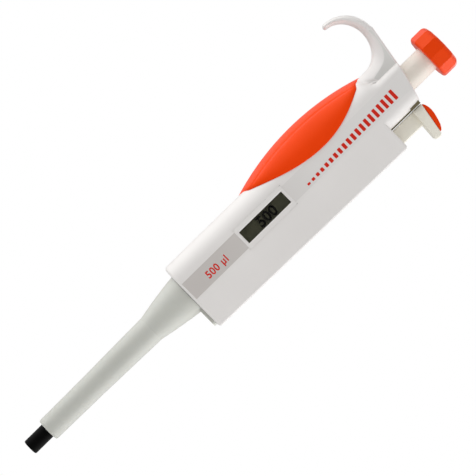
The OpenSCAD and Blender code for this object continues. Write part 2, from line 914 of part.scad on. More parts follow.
// Orange inlay on the button's top
module ejector_pad() {
    depth = 10.4;
    outline = [[12.2, button_z + 5.16], [13.6, button_z + 6.1], [15.6, button_z + 6.6],
               [17.8, button_z + 6.6], [20.6, button_z + 6], [23.6, button_z + 5.2],
               [25.6, button_z + 4.2], [26.4, button_z + 2.84]];
    color(orange)
        translate([0, depth / 2, 0])
            rotate([90, 0, 0])
                linear_extrude(depth) polygon(outline);
}

// Four screws that close the shells, all alike but for their length
module handle_screws() {
    color(steel)
        for (s = screws)
            translate([s[0], 0, s[1]])
                rotate([-90, 0, 0])
                    difference() {
                        union() {
                            translate([0, 0, -screw_reach])
                                cylinder(h = s[2] - screw_sink + screw_reach + 0.1, r = screw_r);
                            translate([0, 0, s[2] - screw_sink])
                                cylinder(h = screw_head_h, r = screw_head_r);
                        }
                        translate([0, 0, s[2] - screw_sink + screw_head_h / 2])
                            cylinder(h = 2, r = screw_head_r / 2, $fn = 6);
                    }
}

handle_front();
handle_rear();
finger_hook();
palm_grip();
window_bezel();
display_window();
top_bush();
mechanism_frame();
click_ring();
counter_hub();
pinion_axle();
spring_housing();
shaft_socket();
coupling_nut();
shaft();
piston_seal();
seal_ring();
seal_retainer();
tip_cone();
ejector_rail();
ejector_guide();
ejector_bush();
handle_screws();
primary_spring();
blowout_spring();
ejector_spring();
blowout_collar();
piston();
piston_head();
volume_knob();
knob_cap();
plunger_sleeve();
push_rod();
volume_spindle();
drive_disc();
spindle_clip();
units_ring();
stop_nut();
tens_ring();
hundreds_ring();
tens_pinion();
hundreds_pinion();
ejector_button();
ejector_pad();
ejector_rod();
rod_clip();
ejector_arm();
ejector_sleeve();
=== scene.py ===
"""Looks of the adjustable micropipette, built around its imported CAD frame."""
import json
import math

import bmesh
import bpy
from mathutils import Matrix, Vector


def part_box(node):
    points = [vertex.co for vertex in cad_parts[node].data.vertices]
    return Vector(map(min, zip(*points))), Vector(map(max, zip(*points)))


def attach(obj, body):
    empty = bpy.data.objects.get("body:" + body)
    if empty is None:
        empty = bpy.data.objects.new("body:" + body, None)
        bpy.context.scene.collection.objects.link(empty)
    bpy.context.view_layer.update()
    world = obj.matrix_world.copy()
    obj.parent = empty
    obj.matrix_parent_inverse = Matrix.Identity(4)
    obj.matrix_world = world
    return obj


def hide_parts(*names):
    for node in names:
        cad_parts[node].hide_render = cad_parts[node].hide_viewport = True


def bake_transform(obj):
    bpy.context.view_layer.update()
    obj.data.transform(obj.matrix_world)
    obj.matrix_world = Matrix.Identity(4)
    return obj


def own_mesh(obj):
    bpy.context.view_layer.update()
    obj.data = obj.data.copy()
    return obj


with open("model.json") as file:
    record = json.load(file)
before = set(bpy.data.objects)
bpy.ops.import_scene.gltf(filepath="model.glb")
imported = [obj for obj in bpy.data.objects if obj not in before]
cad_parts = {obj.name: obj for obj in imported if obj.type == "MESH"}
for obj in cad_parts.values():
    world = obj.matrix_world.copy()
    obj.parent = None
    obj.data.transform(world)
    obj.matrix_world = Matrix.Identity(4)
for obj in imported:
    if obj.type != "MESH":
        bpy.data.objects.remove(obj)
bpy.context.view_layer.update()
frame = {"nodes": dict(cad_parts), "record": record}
NODES = frame["nodes"]
MM = 0.001
bpy.context.scene.view_settings.view_transform = "Standard"

# The photograph's view: the pipette leans right, its nozzle at the lower left
AXIS_LEAN = math.radians(44.43)  # axis above the picture's horizontal
VIEW_CENTRE = Vector((-1.8, 0.0, 127.0)) * MM
VIEW_WIDTH = 204.7 * MM  # what the picture spans at the axis
CAMERA_DISTANCE = 1.3
SENSOR = 36.0
# Backdrop behind the photograph's view is white and falls to pale grey all round:
# share of +Y in the direction at which it starts and ends, and its strength at each
BACKDROP = {"From Min": 0.55, "From Max": 0.95, "To Min": 0.70, "To Max": 1.0}
TENT_LIGHT = (0.43, 2.6)  # strength from front or back, and from the sides
TENT_FOCUS = 4.0  # how closely the side light keeps to the sides


# ---- Materials ----


def new_material(name):
    """A node material whose Principled shader is joined to its output."""
    material = bpy.data.materials.new(name)
    material.use_nodes = True
    shader = material.node_tree.nodes["Principled BSDF"]
    return material, material.node_tree, shader


def add(tree, kind, **settings):
    """Adds a node; a setting that names an input sets that input's value."""
    node = tree.nodes.new(kind)
    for key, value in settings.items():
        if key in node.inputs:
            node.inputs[key].default_value = value
        else:
            setattr(node, key, value)
    return node


def noise(tree, scale, detail=3.0, roughness=0.5, stretch=(1, 1, 1)):
    """Noise over the object's own metres, stretched along an axis if asked."""
    where = add(tree, "ShaderNodeTexCoord")
    scaled = add(tree, "ShaderNodeMapping")
    scaled.inputs["Scale"].default_value = stretch
    tree.links.new(where.outputs["Object"], scaled.inputs["Vector"])
    texture = add(tree, "ShaderNodeTexNoise", Scale=scale, Detail=detail, Roughness=roughness)
    tree.links.new(scaled.outputs["Vector"], texture.inputs["Vector"])
    return texture.outputs["Fac"]


def ramp(tree, source, stops):
    """Maps a 0 to 1 value through colour stops of (place, colour)."""
    node = add(tree, "ShaderNodeValToRGB")
    elements = node.color_ramp.elements
    while len(elements) < len(stops):
        elements.new(0.5)
    for element, (place, colour) in zip(elements, stops):
        element.position = place
        element.color = colour if len(colour) == 4 else (*colour, 1.0)
    tree.links.new(source, node.inputs["Fac"])
    return node.outputs["Color"]


def between(tree, source, low, high):
    """Maps a 0 to 1 value to the span from low to high."""
    node = add(tree, "ShaderNodeMapRange", **{"To Min": low, "To Max": high})
    tree.links.new(source, node.inputs["Value"])
    return node.outputs["Result"]


def coat(tree, shader, tone, stops, polish, rough):
    """Colour through stops over one field, and roughness between two values over another."""
    tree.links.new(ramp(tree, tone, stops), shader.inputs["Base Color"])
    tree.links.new(between(tree, polish, *rough), shader.inputs["Roughness"])


def bump(tree, shader, heights, distance, strength):
    """Adds bump layers to a shader, one for each height field."""
    normal = None
    for height, depth in zip(heights, distance):
        node = add(tree, "ShaderNodeBump", Strength=strength, Distance=depth)
        tree.links.new(height, node.inputs["Height"])
        if normal:
            tree.links.new(normal, node.inputs["Normal"])
        normal = node.outputs["Normal"]
    tree.links.new(normal, shader.inputs["Normal"])


def shade(colour, factor):
    """A colour made lighter or darker."""
    return tuple(min(1.0, c * factor) for c in colour)


GLOW_RADIUS = (0.6, 0.5, 0.4)  # how far red, green and blue light spread in pale plastic
GLOW_DEPTH = 1.2 * MM


def moulded(name, colour, rough=(0.3, 0.4), grain=2600, grain_depth=0.012, vary=0.03, gloss=0.5,
            sheen=(1, 1, 1), soft=0.0):
    """Moulded plastic: slow colour drift, fine mould grain, faint flow marks and handling marks."""
    material, tree, shader = new_material(name)
    drift = noise(tree, 28, 4)
    fine = noise(tree, grain, 2)
    marks = noise(tree, 420, 6, 0.65, (1, 1, 0.25))
    coat(tree, shader, drift, [(0.3, shade(colour, 1 - vary)), (0.7, shade(colour, 1 + vary))],
         marks, rough)
    bump(tree, shader, (fine, marks), (grain_depth * MM, 0.006 * MM), 0.4)
    shader.inputs["Specular IOR Level"].default_value = gloss
    shader.inputs["Specular Tint"].default_value = (*sheen, 1)
    shader.inputs["Subsurface Weight"].default_value = soft
    shader.inputs["Subsurface Radius"].default_value = GLOW_RADIUS
    shader.inputs["Subsurface Scale"].default_value = GLOW_DEPTH
    return material


def painted_shade_face(name, low, high, colours):
    """Satin face of the shell with painted shade: a greyer tone for faces turned to front or back,
    going from one colour to another between two heights.
    """
    material = moulded(name, colours[0], (0.42, 0.52))
    tree = material.node_tree
    where = add(tree, "ShaderNodeTexCoord")
    parts = add(tree, "ShaderNodeSeparateXYZ")
    tree.links.new(where.outputs["Object"], parts.inputs["Vector"])
    height = add(tree, "ShaderNodeMapRange", **{"From Min": low * MM, "From Max": high * MM})
    tree.links.new(parts.outputs["Z"], height.inputs["Value"])
    drift = add(tree, "ShaderNodeMath", operation="ADD")
    tree.links.new(height.outputs["Result"], drift.inputs[0])
    tree.links.new(between(tree, noise(tree, 60, 4), -0.06, 0.06), drift.inputs[1])
    tree.links.new(ramp(tree, drift.outputs[0], [(0.0, colours[0]), (1.0, colours[1])]),
                   tree.nodes["Principled BSDF"].inputs["Base Color"])
    return material


def metal(name, colour, rough=(0.2, 0.32), turned=9000, depth=0.006):
    """Turned or drawn metal: fine rings round the axis over a slightly uneven polish."""
    material, tree, shader = new_material(name)
    rings = noise(tree, turned, 2, 0.5, (0.02, 0.02, 1))
    polish = noise(tree, 300, 4)
    coat(tree, shader, polish, [(0.3, shade(colour, 0.93)), (0.7, shade(colour, 1.05))], rings, rough)
    bump(tree, shader, (rings,), (depth * MM,), 0.5)
    shader.inputs["Metallic"].default_value = 1.0
    return material


def rubber(name, colour):
    """Matt rubber with paler dust in its grain."""
    material, tree, shader = new_material(name)
    dust = noise(tree, 900, 5, 0.6)
    coat(tree, shader, dust, [(0.35, colour), (0.8, shade(colour, 1.8))], dust, (0.55, 0.75))
    bump(tree, shader, (dust,), (0.02 * MM,), 0.6)
    return material


def smoked_window(name, low, high):
    """Smoked clear plastic with faint wipe marks that go from one tint to another."""
    material, tree, shader = new_material(name)
    wipes = noise(tree, 260, 5, 0.6, (1, 1, 0.2))
    coat(tree, shader, wipes, [(0.3, low), (0.7, high)], wipes, (0.04, 0.1))
    shader.inputs["Transmission Weight"].default_value = 1.0
    shader.inputs["IOR"].default_value = 1.2
    return material


def ink(name, colour):
    """Pad-printed ink, slightly uneven in its cover."""
    material, tree, shader = new_material(name)
    cover = noise(tree, 2200, 3)
    coat(tree, shader, cover, [(0.25, shade(colour, 0.88)), (0.75, shade(colour, 1.08))],
         cover, (0.38, 0.5))
    bump(tree, shader, (cover,), (0.008 * MM,), 0.5)
    shader.inputs["Specular IOR Level"].default_value = 0.2
    return material


ORANGE_SHEEN = (1.0, 0.45, 0.2)  # keeps the gloss on orange plastic from whitening it
SMOOTH_MOULD = (0.26, 0.36)
FINE_MOULD = (0.34, 0.46)
MATT_MOULD = (0.5, 0.6)
MATERIALS = {
    "shell_white": moulded("shell_white_plastic", (0.80, 0.775, 0.755), SMOOTH_MOULD),
    "grip_orange": moulded("grip_soft_orange", (0.91, 0.052, 0.002), FINE_MOULD, grain=1500,
                           grain_depth=0.03, vary=0.04, gloss=0.3, sheen=ORANGE_SHEEN),
    "knob_orange": moulded("knob_orange_plastic", (0.87, 0.052, 0.003), SMOOTH_MOULD, gloss=0.35,
                           sheen=ORANGE_SHEEN),
    "cream_plastic": moulded("cream_plastic", (0.80, 0.755, 0.675), SMOOTH_MOULD),
    "sleeve_grey": moulded("sleeve_greenish_grey", (0.55, 0.555, 0.51), soft=0.1),
    "nozzle_black": moulded("nozzle_black_plastic", (0.002, 0.002, 0.002), FINE_MOULD, vary=0.2,
                            gloss=0.04),
    # The rail's dark brown is painted shade, standing for the shadow in the slot between neck and
    # ejector stem
    "rail_dark": moulded("rail_dark_painted_shade", (0.17, 0.14, 0.075), MATT_MOULD, gloss=0.3),
    "frame_grey": moulded("frame_grey_plastic", (0.16, 0.17, 0.18), (0.45, 0.55)),
    "low_friction_white": moulded("low_friction_white", (0.8, 0.8, 0.77), soft=0.1),
    "ring_plastic": moulded("ring_olive_plastic", (0.50, 0.50, 0.40), MATT_MOULD, gloss=0.3),
    "seal_rubber": rubber("seal_black_rubber", (0.012, 0.012, 0.012)),
    "steel": metal("turned_steel", (0.6, 0.61, 0.63)),
    "spring_steel": metal("drawn_spring_wire", (0.52, 0.52, 0.54), (0.24, 0.34), 4000),
    "brass": metal("turned_brass", (0.78, 0.56, 0.24)),
    "window_smoke": smoked_window("window_smoked_plastic", (0.37, 0.37, 0.33), (0.41, 0.41, 0.36)),
}
# Faces and prints that have no slot of their own; a painted-shade face greys flat faces turned to
# front or back, its tone changing between two heights
# Painted shade on the front strip: greyer than the shell, darker towards the foot
STRIP_PAINTED_SHADE = painted_shade_face("shell_strip_painted_shade", 118, 172, ((0.58, 0.545, 0.52), (0.775, 0.755, 0.735)))
# Painted shade on the hook's flat faces: greyer than the shell, darker towards their foot
HOOK_PAINTED_SHADE = painted_shade_face("hook_facet_painted_shade", 214, 232, ((0.66, 0.65, 0.63), (0.74, 0.73, 0.70)))
# A paler copy of the cream plastic for the button: painted light against the shade on its stem
BUTTON_CREAM_PAINTED_LIGHT = moulded("button_cream_painted_light", (0.90, 0.865, 0.76), (0.28, 0.4))
PRINT_INK = ink("print_red", (0.66, 0.018, 0.006))
DIGIT_INK = ink("digit_black", (0.004, 0.004, 0.004))


def paint_cad_nodes():
    """Gives every CAD node the material of its slot."""
    for row in frame["record"]["subparts"]:
        mesh = NODES[row["node"]].data
        mesh.materials.clear()
        mesh.materials.append(MATERIALS[row["material_slot"]])


# ---- Mesh helpers; all take millimetres and make metres ----


def mesh_object(name, points, faces):
    """A new object from points and faces."""
    mesh = bpy.data.meshes.new(name)
    mesh.from_pydata([Vector(p) * MM for p in points], [], faces)
    mesh.validate()
    thing = bpy.data.objects.new(name, mesh)
    bpy.context.collection.objects.link(thing)
    return thing


def tidy_normals(thing):
    """Makes the faces agree and point outwards."""
    form = bmesh.new()
    form.from_mesh(thing.data)
    bmesh.ops.remove_doubles(form, verts=form.verts, dist=0.002 * MM)
    bmesh.ops.recalc_face_normals(form, faces=form.faces)
    form.to_mesh(thing.data)
    form.free()


def skin(name, rings, closed_ends=True):
    """A skin over rings of points, each ring closed on itself."""
    count = len(rings[0])
    points = [p for ring in rings for p in ring]
    faces = []
    for k in range(len(rings) - 1):
        this, above = k * count, (k + 1) * count
        for i in range(count):
            beside = (i + 1) % count
            faces.append((this + i, this + beside, above + beside, above + i))
    if closed_ends:
        faces.append(tuple(range(count)))
        faces.append(tuple((len(rings) - 1) * count + i for i in range(count)))
    thing = mesh_object(name, points, faces)
    tidy_normals(thing)
    return thing


def lathe(name, profile, steps=128):
    """Turns a closed profile of (radius, height) round the axis."""
    turns = [2 * math.pi * i / steps for i in range(steps)]
    rings = [[(r * math.cos(a), r * math.sin(a), z) for r, z in profile] for a in turns]
    rings.append(rings[0])
    return skin(name, rings, closed_ends=False)


def slab(name, outline, low, high, plane="XZ"):
    """An outline drawn in XZ or XY, made thick along the third axis."""
    if plane == "XZ":
        rings = [[(x, w, z) for x, z in outline] for w in (low, high)]
    else:
        rings = [[(x, y, w) for x, y in outline] for w in (low, high)]
    return skin(name, rings)


def box(name, low, high):
    """A block between two corners."""
    corners = [(low[0], low[1]), (high[0], low[1]), (high[0], high[1]), (low[0], high[1])]
    return slab(name, corners, low[2], high[2], "XY")


def arc(centre, radii, start, end, steps):
    """Points along an arc of an ellipse, angles in degrees."""
    turns = [math.radians(start + (end - start) * i / steps) for i in range(steps + 1)]
    return [(centre[0] + radii[0] * math.cos(a), centre[1] + radii[1] * math.sin(a)) for a in turns]


def quarter(steps, first=0):
    """Angles in even steps up to a quarter turn."""
    return [math.pi / 2 * i / steps for i in range(first, steps + 1)]


def rounded_box_outline(x0, x1, z0, z1, r, steps=6):
    """Outline of a box with round corners."""
    return (arc((x0 + r, z0 + r), (r, r), 180, 270, steps)
            + arc((x1 - r, z0 + r), (r, r), 270, 360, steps)
            + arc((x1 - r, z1 - r), (r, r), 0, 90, steps)
            + arc((x0 + r, z1 - r), (r, r), 90, 180, steps))


def apply_modifiers(thing):
    """Leaves the evaluated mesh in place of the modifiers."""
    graph = bpy.context.evaluated_depsgraph_get()
    solid = bpy.data.meshes.new_from_object(thing.evaluated_get(graph))
    thing.modifiers.clear()
    thing.data = solid


def combine(thing, others, operation):
    """Cuts, joins or intersects with other meshes, which are used up."""
    for other in others:
        step = thing.modifiers.new("step", "BOOLEAN")
        step.operation = operation
        step.object = other
        step.solver = "EXACT"
        apply_modifiers(thing)
        bpy.data.objects.remove(other)
    return thing


def bevel(thing, width, segments=3, angle=35):
    """Rounds every edge sharper than the angle."""
    step = thing.modifiers.new("edges", "BEVEL")
    step.width = width * MM
    step.segments = segments
    step.limit_method = "ANGLE"
    step.angle_limit = math.radians(angle)
    step.use_clamp_overlap = True
    apply_modifiers(thing)
    return thing


def smooth(thing, angle=30):
    """Smooth shading, broken at edges sharper than the angle."""
    form = bmesh.new()
    form.from_mesh(thing.data)
    limit = math.radians(angle)
    for edge in form.edges:
        edge.smooth = len(edge.link_faces) == 2 and edge.calc_face_angle(0) < limit
    for face in form.faces:
        face.smooth = True
    form.to_mesh(thing.data)
    form.free()
    return thing


def place(thing, body, slot, replaced=(), material=None):
    """Puts a finished piece on its body with its material."""
    thing.data.materials.clear()
    thing.data.materials.append(material or MATERIALS[slot])
    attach(thing, body)
    if replaced:
        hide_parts(*replaced)
    return thing


def ease(x):
    """Smooth step from 0 to 1."""
    x = max(0.0, min(1.0, x))
    return x * x * (3 - 2 * x)


def rod(name, low, high, radius, steps=64, centre=(0, 0), along="Z"):
    """A round bar along Z at centre (x, y), or along Y at centre (x, z)."""
    circle = arc(centre, (radius, radius), 0, 360, steps)[:-1]
    return slab(name, circle, low, high, "XY" if along == "Z" else "XZ")


# ---- Handle shells ----

# x is a distance from the axis, z a height in the frame, and a half depth is along Y
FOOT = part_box("handle_front")[0][2] / MM  # underside of the handle
BACK_X = 14.5  # hook side
NECK_BACK_X = 7.9
NECK_SIDE_X = 10.9  # ejector side of the neck
HALF_DEPTH = 12.8
STRIP = 4.5  # half width of the flat front strip
SHOULDER = (208.3, 215.9)  # where the back edge draws in
SHOULDER_THINS = 1.0  # half depth lost over the shoulder
NECK_THINS = 0.8  # half depth lost over the neck
NECK = (214, 14)  # foot and length of the part that thins
NECK_TOP = 228.3
NECK_FALL = math.tan(math.radians(13.5))
NECK_ROUND = 1.0  # radius of the neck's upper edge
HOUSING_TOP = 206.0
HOUSING_X = (20.0, 21.6)  # ejector housing at its foot and top
HOUSING_FALL = 1.9  # how much less deep it is at its outer corner
HOUSING_CORNER = 1.0
HOUSING_SHY = 0.05  # keeps its face just behind the strip's
WALL = 1.9
FLOOR = FOOT + 2.2
CEILING = 219.8  # top of the hollow
ROD_X = 15.9  # axis of the ejector rod
RAIL_SLOT = (10.9, 12.2, 3, 219)  # x of both sides, half depth, top
STEM_SLOT = (11.6, 19.5, 3.85)  # x of both sides, half depth
RIM_STEP = (20.75, 0.55)  # x and height of the step in the housing's upper rim
BLOCK_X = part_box("ejector_rail")[0][0] / MM
BLOCK_DEPTH = (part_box("ejector_rail")[1][1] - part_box("ejector_rail")[0][1]) / MM
BLOCK_Z = (218.2, 223.2)
BLOCK_ROOM = 0.02
BEZEL = (11.0, 28.0)
WINDOW = (6.4, 25.0)
DISPLAY = sum(corner[2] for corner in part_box("window_bezel")) / 2 / MM
# Foot, top and bore of each rib
RIBS = ((105, 107, 9.3), (135.3, 137.1, 9.93), (152.6, 154.6, 9.03), (209, 211, 9.03))
# x, z and half depth of each screw head
SCREWS = ((-11.2, 108, 9.2), (-11.2, 200, 9.2), (12.3, 108, 11.4), (12.3, 140, 11.4))
PARTING = 0.03  # half the gap between the shells
PARTING_GROOVE = 0.16
BEYOND = 60  # reach of a cutting block that must pass the whole handle


def shoulder_share(z):
    """0 below the shoulder and 1 above it."""
    return ease((z - SHOULDER[0]) / (SHOULDER[1] - SHOULDER[0]))


def back_reach(z):
    """Distance from the axis to the back edge."""
    return BACK_X + (NECK_BACK_X - BACK_X) * shoulder_share(z)


def grip_side_section(z, inset=0.0):
    """Outline of the handle without its ejector housing."""
    back = back_reach(z) - inset
    thinned = HALF_DEPTH - SHOULDER_THINS * shoulder_share(z)
    depth = thinned - NECK_THINS * ease((z - NECK[0]) / NECK[1]) - inset
    side = NECK_SIDE_X - inset
    rb, rs = back - STRIP, side - STRIP
    front = (arc((-STRIP, rb - depth), (rb, rb), 180, 270, 24)
             + [(-STRIP / 2, -depth), (0, -depth), (STRIP / 2, -depth), (STRIP, -depth)]
             + arc((STRIP, rs - depth), (rs, rs), 284, 360, 14))
    return front + [(x, -y) for x, y in reversed(front)]


def handle_face_depth(z):
    """Half depth of the front strip at a height."""
    return -min(y for _, y in grip_side_section(z))


def housing_section(z, inset=0.0):
    """Outline of the ejector housing; its face falls back towards the corner."""
    share = (z - FOOT) / (HOUSING_TOP - FOOT)
    x = HOUSING_X[0] + (HOUSING_X[1] - HOUSING_X[0]) * share - inset
    depth = HALF_DEPTH - HOUSING_SHY - inset
    c = HOUSING_CORNER
    front = ([(1.0, -depth), (STRIP, -depth)]
             + arc((x - c, HOUSING_FALL + c - depth), (c, c), 278, 360, 10))
    return front + [(x, -y) for x, y in reversed(front)]


def sections(section, heights, inset=0.0):
    """Rings of a section at each of the heights."""
    return [[(x, y, z) for x, y in section(z, inset)] for z in heights]


def foot_rings(section, radius=1.5):
    """Rings that round the lower edge of a section."""
    rings = []
    for a in quarter(6):
        z = FOOT + radius * (1 - math.cos(a))
        rings.append([(x, y, z) for x, y in section(FOOT, radius * (1 - math.sin(a)))])
    return rings


def handle_outside():
    """Both halves' outer form, with its sloping, rounded top."""
    rings = foot_rings(grip_side_section)
    shoulder = [SHOULDER[0] + i * (SHOULDER[1] - SHOULDER[0]) / 16 for i in range(17)]
    heights = [110, 140, 170, 200] + shoulder + [222]
    rings += sections(grip_side_section, heights)
    for a in quarter(6):
        drop, inset = NECK_ROUND * (1 - math.sin(a)), NECK_ROUND * (1 - math.cos(a))
        rings.append([(x, y, NECK_TOP - (x + NECK_BACK_X) * NECK_FALL - drop)
                      for x, y in grip_side_section(NECK_TOP - 2, inset)])
    body = skin("handle_form", rings)
    rings = foot_rings(housing_section)
    rings += sections(housing_section, (130, 168, HOUSING_TOP - 1))
    for a in quarter(6, 1):
        z = HOUSING_TOP - 1 + math.sin(a)
        rings.append([(x, y, z) for x, y in housing_section(HOUSING_TOP, 1 - math.cos(a))])
    return combine(body, [skin("housing_form", rings)], "UNION")


def handle_inside():
    """The hollow of both halves."""
    neck = [SHOULDER[0] + i * (CEILING - SHOULDER[0]) / 8 for i in range(9)]
    space = skin("inside", sections(grip_side_section, [FLOOR, 120, 160, 200] + neck, WALL))
    rings = sections(housing_section, (FLOOR, HOUSING_TOP - 2.2), WALL)
    return combine(space, [skin("housing_inside", rings)], "UNION")


def rib(low, high, bore):
    """A ring-shaped wall that holds the mechanism, rooted in the shells."""
    plate = skin("rib", sections(grip_side_section, (low, high), WALL - 0.4))
    return combine(plate, [rod("rib_bore", low - 1, high + 1, bore)], "DIFFERENCE")


def screw_places(name, radius, low, high):
    """Bars along Y at each screw; low and high give their ends from the head's half depth."""
    return [rod(name, low(head), high(head), radius, 32, (x, z), along="Y") for x, z, head in SCREWS]


def handle_openings():
    """Bores, seats and slots through the shells, as solids to cut away."""
    stem_in, stem_out, stem_y = STEM_SLOT
    rail_in, rail_out, rail_y, rail_top = RAIL_SLOT
    step_x, step = RIM_STEP
    block_y = BLOCK_DEPTH / 2
    return [
        rod("floor_bore", FOOT - 1, FLOOR + 1, 9.95, 96),
        rod("bush_seat", 219.2, 223, 7.63, 96),
        rod("sleeve_bore", 219, NECK_TOP + 10, 6.25, 96),
        rod("rod_hole", FOOT - 1, FLOOR + 1, 2.6, 48, (ROD_X, 0)),
        box("stem_slot", (stem_in, -stem_y, HOUSING_TOP - 3), (stem_out, stem_y, HOUSING_TOP + 2)),
        box("rail_slot", (rail_in, -rail_y, HOUSING_TOP - 1), (rail_out, rail_y, rail_top)),
        box("block_slot", (BLOCK_X, -block_y, BLOCK_Z[0] - BLOCK_ROOM),
            (rail_out, block_y, BLOCK_Z[1] + BLOCK_ROOM)),
        box("rim_step", (step_x, -20, HOUSING_TOP - step), (23, 20, HOUSING_TOP + 2)),
    ]


def handle_shells():
    """Two shells that meet in a fine groove all round."""
    form = handle_outside()
    combine(form, [handle_inside()], "DIFFERENCE")
    combine(form, [rib(*r) for r in RIBS], "UNION")
    combine(form, screw_places("boss", 1.6, lambda head: 1 - head, lambda head: head - 1), "UNION")
    combine(form, handle_openings(), "DIFFERENCE")
    combine(form, screw_places("pilot", 0.95, lambda head: -7, lambda head: head), "DIFFERENCE")
    combine(form, screw_places("head_seat", 1.55, lambda head: head - 1.6, lambda head: head + 8),
            "DIFFERENCE")
    rear = form.copy()
    rear.data = form.data.copy()
    bpy.context.collection.objects.link(rear)
    for shell, low, high in ((form, -PARTING, BEYOND), (rear, -BEYOND, PARTING)):
        combine(shell, [box("other_half", (-BEYOND, low, 0), (BEYOND, high, 300))], "DIFFERENCE")
    w, h = BEZEL
    seat = box("bezel_seat", (-w / 2, -20, DISPLAY - h / 2), (w / 2, -10.5, DISPLAY + h / 2))
    combine(form, [seat], "DIFFERENCE")
    for shell, name in ((form, "front"), (rear, "rear")):
        groove_edges(shell)
        tidy_normals(shell)
        smooth(shell, 28)
        shell.name = "handle_shell_" + name
        place(shell, "handle", "shell_white", ["handle_" + name])
        # Flat strip faces turned to front or back take the strip's painted shade
        shell.data.materials.append(STRIP_PAINTED_SHADE)
        for face in shell.data.polygons:
            flat = abs(face.normal.y) > 0.97 and abs(face.center.x) < STRIP * MM
            outside = abs(face.center.y) > (HALF_DEPTH - 2.2) * MM
            face.material_index = int(flat and outside)


def groove_edges(shell):
    """Softens the shells' parting edge, which leaves a fine V groove."""
    form = bmesh.new()
    form.from_mesh(shell.data)
    limit = (PARTING + 0.005) * MM
    edges = [e for e in form.edges if all(abs(v.co.y) < limit for v in e.verts)
             and len(e.link_faces) == 2 and e.calc_face_angle(0) > 0.8]
    bmesh.ops.bevel(form, geom=edges, offset=PARTING_GROOVE * MM, segments=2, affect="EDGES",
                    profile=0.5, clamp_overlap=True)
    form.to_mesh(shell.data)
    form.free()


# ---- Finger hook ----

HOOK_OUTER = ((-27.4, 217.1), 14.35)  # centre and radius of the outer edge's curve
HOOK_INNER = ((-27.2, 216.3), (12.5, 12.0), 10.4)  # centre, radii towards neck and tip, height
HOOK_CORNER = (-3.0, 227.4)  # where the outer edge starts, inside the neck's top
HOOK_ROOT = -0.15  # share of the sweep that lies inside the handle
HOOK_CREST = 0.5  # share of the sweep at which the outer edge starts to curve
CREST_TURN = math.radians(86)
ROOT_SINKS = (Vector((2.5, 0, -7)), Vector((3, 0, -8)))  # inner and outer edge over the root
FACET_SLOPE = (0.0945, -0.035)  # rise of the flat face's half depth along x and z
FACET_START = (-8.0, 217.0, 8.4)  # x, z and half depth where it leaves the neck
FACET_FOOT = 214.5  # lowest height at which the face is flat


def hook_edges(t):
    """Inner and outer edge of the hook at t: 0 at the neck, 1 at the tip, below 0 in the handle."""
    (cx, cz), r = HOOK_OUTER
    (ix, iz), (near, far), high = HOOK_INNER
    if t < 0:
        return tuple(edge + sink * (t / HOOK_ROOT) for edge, sink in zip(hook_edges(0), ROOT_SINKS))
    if t < HOOK_CREST:
        u = t / HOOK_CREST
        end = (cx + r * math.cos(CREST_TURN), cz + r * math.sin(CREST_TURN))
        outer = tuple(a + (b - a) * u for a, b in zip(HOOK_CORNER, end))
        down = math.radians(-38 + 128 * u ** 0.9)
        if down < 0:
            inner = (ix + near + 0.6 * math.sin(-down), iz + high * math.sin(down) * 1.1)
        else:
            inner = (ix + near * math.cos(down), iz + high * math.sin(down))
    else:
        u = (t - HOOK_CREST) / (1 - HOOK_CREST)
        a = CREST_TURN + (math.radians(178) - CREST_TURN) * u
        outer = (cx + r * math.cos(a), cz + r * math.sin(a))
        b = math.radians(90 + 86 * u)
        inner = (ix + far * math.cos(b), iz + high * math.sin(b))
    return Vector((inner[0], 0, inner[1])), Vector((outer[0], 0, outer[1]))


def facet_depth(x, z, t):
    """Half depth of the flat face, which fades out at its foot and past the crest."""
    x0, z0, y0 = FACET_START
    plane = y0 + FACET_SLOPE[0] * (x - x0) + FACET_SLOPE[1] * (z - z0)
    return plane + 5 * (1 - ease((z - 210.5) / 4.5)) + 4 * ease((t - 0.48) / 0.22)


def handle_side_depth(x, z):
    """Half depth of the handle's hook side at a point of its outline from the front."""
    depth = handle_face_depth(z)
    r = back_reach(z) - STRIP
    out = -STRIP - x
    if out < 0:
        return depth
    if out < r:
        return depth - r + math.sqrt(r ** 2 - out ** 2)
    return depth - r - 3 * (out - r)


def soft_max(a, b, reach):
    """The larger of two values, with a fillet where they are within reach of each other."""
    near = max(reach - abs(a - b), 0) / reach
    return max(a, b) + near ** 2 * reach / 4


def hook_round(x, z, s, t, wide):
    """Half depth of the rounded form s from the inner edge; low down it flows into the handle."""
    band = 9.0 - 6.2 * ease(t / HOOK_CREST)
    round_w = (2.3 - 1.1 * ease((t - 0.05) / 0.38)) * band
    round_w += (0.5 * wide - round_w) * ease((t - 0.46) / 0.2)
    depth = 9.6 - 3.0 * ease(t / 0.48) - 2.0 * ease((t - 0.55) / 0.45)
    heel = 2.6 * (1 - ease(t / HOOK_CREST))
    share = min(1.0, max(0.0, s / round_w))
    own = heel + (depth - heel) * math.sqrt(1 - (1 - share) ** 2) - 5 * ease(t / HOOK_ROOT)
    side = handle_side_depth(x, z)
    fillet = 5.5 * (1 - ease((z - 213) / 5)) + 0.05
    clear = 0.02 if side - own < fillet else -0.04  # just proud of the shell, or just under it
    return soft_max(own, side, fillet) + clear


